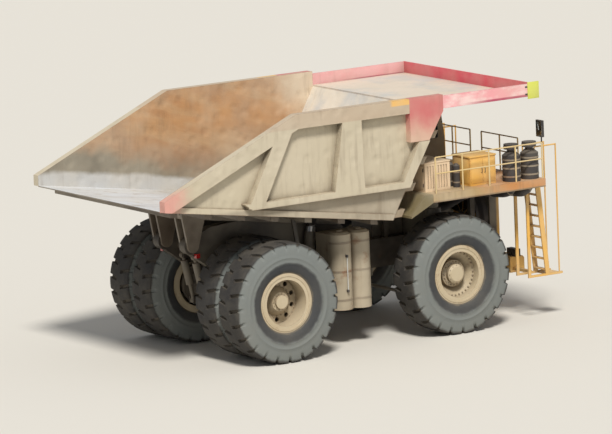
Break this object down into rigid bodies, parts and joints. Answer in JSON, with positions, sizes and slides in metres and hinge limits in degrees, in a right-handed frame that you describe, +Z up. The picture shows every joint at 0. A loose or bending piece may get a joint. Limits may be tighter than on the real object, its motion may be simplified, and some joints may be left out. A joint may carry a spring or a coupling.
{
  "type": "mining dump truck",
  "caption": "Rigid two-axle haul truck with a tipping body, canopy, twin rear tyres, steered front wheels and a cab on a raised deck.",
  "frame": {"origin": "middle of the truck's box, on the ground", "axes": "+X forwards, +Y to the driver's left, +Z up"},
  "size_m": [14.35, 7.26, 7.3],
  "materials": {
    "frame_paint": "dusty satin",
    "strut_paint": "dusty satin",
    "chrome_rod": "polished",
    "yellow_paint": "faded, dusty",
    "body_paint": "faded, dusty, worn to steel inside",
    "red_paint": "faded",
    "rim_paint": "dusty",
    "tyre_rubber": "dusty",
    "engine_iron": "oily",
    "dark_metal": "satin",
    "cream_paint": "dusty",
    "window_glass": "clear, dusty",
    "cab_trim": "matte",
    "lamp_glass": "clear lens",
    "red_lamp": "red lens"
  },
  "bodies": {
    "chassis": {"main_frame": "frame_paint", "front_bumper": "yellow_paint", "front_struts": "strut_paint", "rear_axle": "frame_paint", "axle_arm": "frame_paint", "rear_struts": "strut_paint", "engine": "engine_iron", "radiator": "yellow_paint", "grille": "dark_metal", "decks": "yellow_paint", "hood": "yellow_paint", "fenders": "yellow_paint", "cab_shell": "yellow_paint", "cab_windows": "window_glass", "cab_interior": "cab_trim", "handrails": "yellow_paint", "ladders": "yellow_paint", "fuel_tank": "yellow_paint", "hydraulic_tank": "cream_paint", "brake_cabinet": "cream_paint", "battery_box": "yellow_paint", "accumulators": "dark_metal", "air_cleaners": "dark_metal", "headlamps": "lamp_glass", "tail_lamps": "red_lamp", "mirrors": "dark_metal"},
    "dump_body": {"body_floor": "body_paint", "body_side_left": "body_paint", "body_side_right": "body_paint", "body_front": "body_paint", "body_canopy": "body_paint", "canopy_gussets": "red_paint", "rock_ejectors": "body_paint"},
    "hoist_barrel_left": {"hoist_barrel_left": "strut_paint"},
    "hoist_stage_left": {"hoist_stage_left": "chrome_rod"},
    "hoist_rod_left": {"hoist_rod_left": "chrome_rod"},
    "knuckle_left": {"knuckle_left": "strut_paint"},
    "wheel_front_left": {"tyre_front_left": "tyre_rubber", "rim_front_left": "rim_paint"},
    "wheels_rear_left": {"tyres_rear_left": "tyre_rubber", "rims_rear_left": "rim_paint"},
    "hoist_barrel_right": {"hoist_barrel_right": "strut_paint"},
    "hoist_stage_right": {"hoist_stage_right": "chrome_rod"},
    "hoist_rod_right": {"hoist_rod_right": "chrome_rod"},
    "knuckle_right": {"knuckle_right": "strut_paint"},
    "wheel_front_right": {"tyre_front_right": "tyre_rubber", "rim_front_right": "rim_paint"},
    "wheels_rear_right": {"tyres_rear_right": "tyre_rubber", "rims_rear_right": "rim_paint"},
    "tie_rod": {"tie_rod": "strut_paint"},
    "cab_door": {"cab_door": "yellow_paint", "cab_door_glass": "window_glass"}
  },
  "joints": [
    {"name": "body_tilt", "type": "hinge", "parent": "chassis", "child": "dump_body", "pos_m": [-4.575, 0, 3.35], "axis": [0, -1, 0], "range_deg": [0, 45]},
    {"name": "hoist_left_tilt", "type": "hinge", "parent": "chassis", "child": "hoist_barrel_left", "pos_m": [-0.795, 1.08, 1.5], "axis": [0, -1, 0], "range_deg": [0, 20.2]},
    {"name": "hoist_left_stage", "type": "slide", "parent": "hoist_barrel_left", "child": "hoist_stage_left", "axis": [0.1244, 0, 0.9922], "range_m": [0, 1.445]},
    {"name": "hoist_left_rod", "type": "slide", "parent": "hoist_stage_left", "child": "hoist_rod_left", "axis": [0.1244, 0, 0.9922], "range_m": [0, 1.445]},
    {"name": "steer_left", "type": "hinge", "parent": "chassis", "child": "knuckle_left", "pos_m": [3.275, 1.85, 1.785], "axis": [0, 0, 1], "range_deg": [-32, 32]},
    {"name": "wheel_front_left_spin", "type": "hinge", "parent": "knuckle_left", "child": "wheel_front_left", "pos_m": [3.275, 2.75, 1.785], "axis": [0, 1, 0], "continuous": true},
    {"name": "wheels_rear_left_spin", "type": "hinge", "parent": "chassis", "child": "wheels_rear_left", "pos_m": [-3.025, 2.4, 1.785], "axis": [0, 1, 0], "continuous": true},
    {"name": "hoist_right_tilt", "type": "hinge", "parent": "chassis", "child": "hoist_barrel_right", "pos_m": [-0.795, -1.08, 1.5], "axis": [0, -1, 0], "range_deg": [0, 20.2]},
    {"name": "hoist_right_stage", "type": "slide", "parent": "hoist_barrel_right", "child": "hoist_stage_right", "axis": [0.1244, 0, 0.9922], "range_m": [0, 1.445]},
    {"name": "hoist_right_rod", "type": "slide", "parent": "hoist_stage_right", "child": "hoist_rod_right", "axis": [0.1244, 0, 0.9922], "range_m": [0, 1.445]},
    {"name": "steer_right", "type": "hinge", "parent": "chassis", "child": "knuckle_right", "pos_m": [3.275, -1.85, 1.785], "axis": [0, 0, 1], "range_deg": [-32, 32]},
    {"name": "wheel_front_right_spin", "type": "hinge", "parent": "knuckle_right", "child": "wheel_front_right", "pos_m": [3.275, -2.75, 1.785], "axis": [0, 1, 0], "continuous": true},
    {"name": "wheels_rear_right_spin", "type": "hinge", "parent": "chassis", "child": "wheels_rear_right", "pos_m": [-3.025, -2.4, 1.785], "axis": [0, 1, 0], "continuous": true},
    {"name": "tie_rod_swing", "type": "hinge", "parent": "knuckle_left", "child": "tie_rod", "pos_m": [2.655, 1.75, 1.08], "axis": [0, 0, 1], "range_deg": [-34, 34]},
    {"name": "cab_door_swing", "type": "hinge", "parent": "chassis", "child": "cab_door", "pos_m": [3.95, 2.645, 5.3], "axis": [0, 0, 1], "range_deg": [0, 75]}
  ],
  "couplings": [
    {"joint": "hoist_left_tilt", "follows": "body_tilt", "ratio": 0.446},
    {"joint": "hoist_left_stage", "follows": "body_tilt", "m_per_rad": 1.8373},
    {"joint": "hoist_left_rod", "follows": "body_tilt", "m_per_rad": 1.8373},
    {"joint": "hoist_right_tilt", "follows": "body_tilt", "ratio": 0.446},
    {"joint": "hoist_right_stage", "follows": "body_tilt", "m_per_rad": 1.8373},
    {"joint": "hoist_right_rod", "follows": "body_tilt", "m_per_rad": 1.8373},
    {"joint": "steer_right", "follows": "steer_left", "ratio": 1},
    {"joint": "tie_rod_swing", "follows": "steer_left", "ratio": -1.0537}
  ]
}
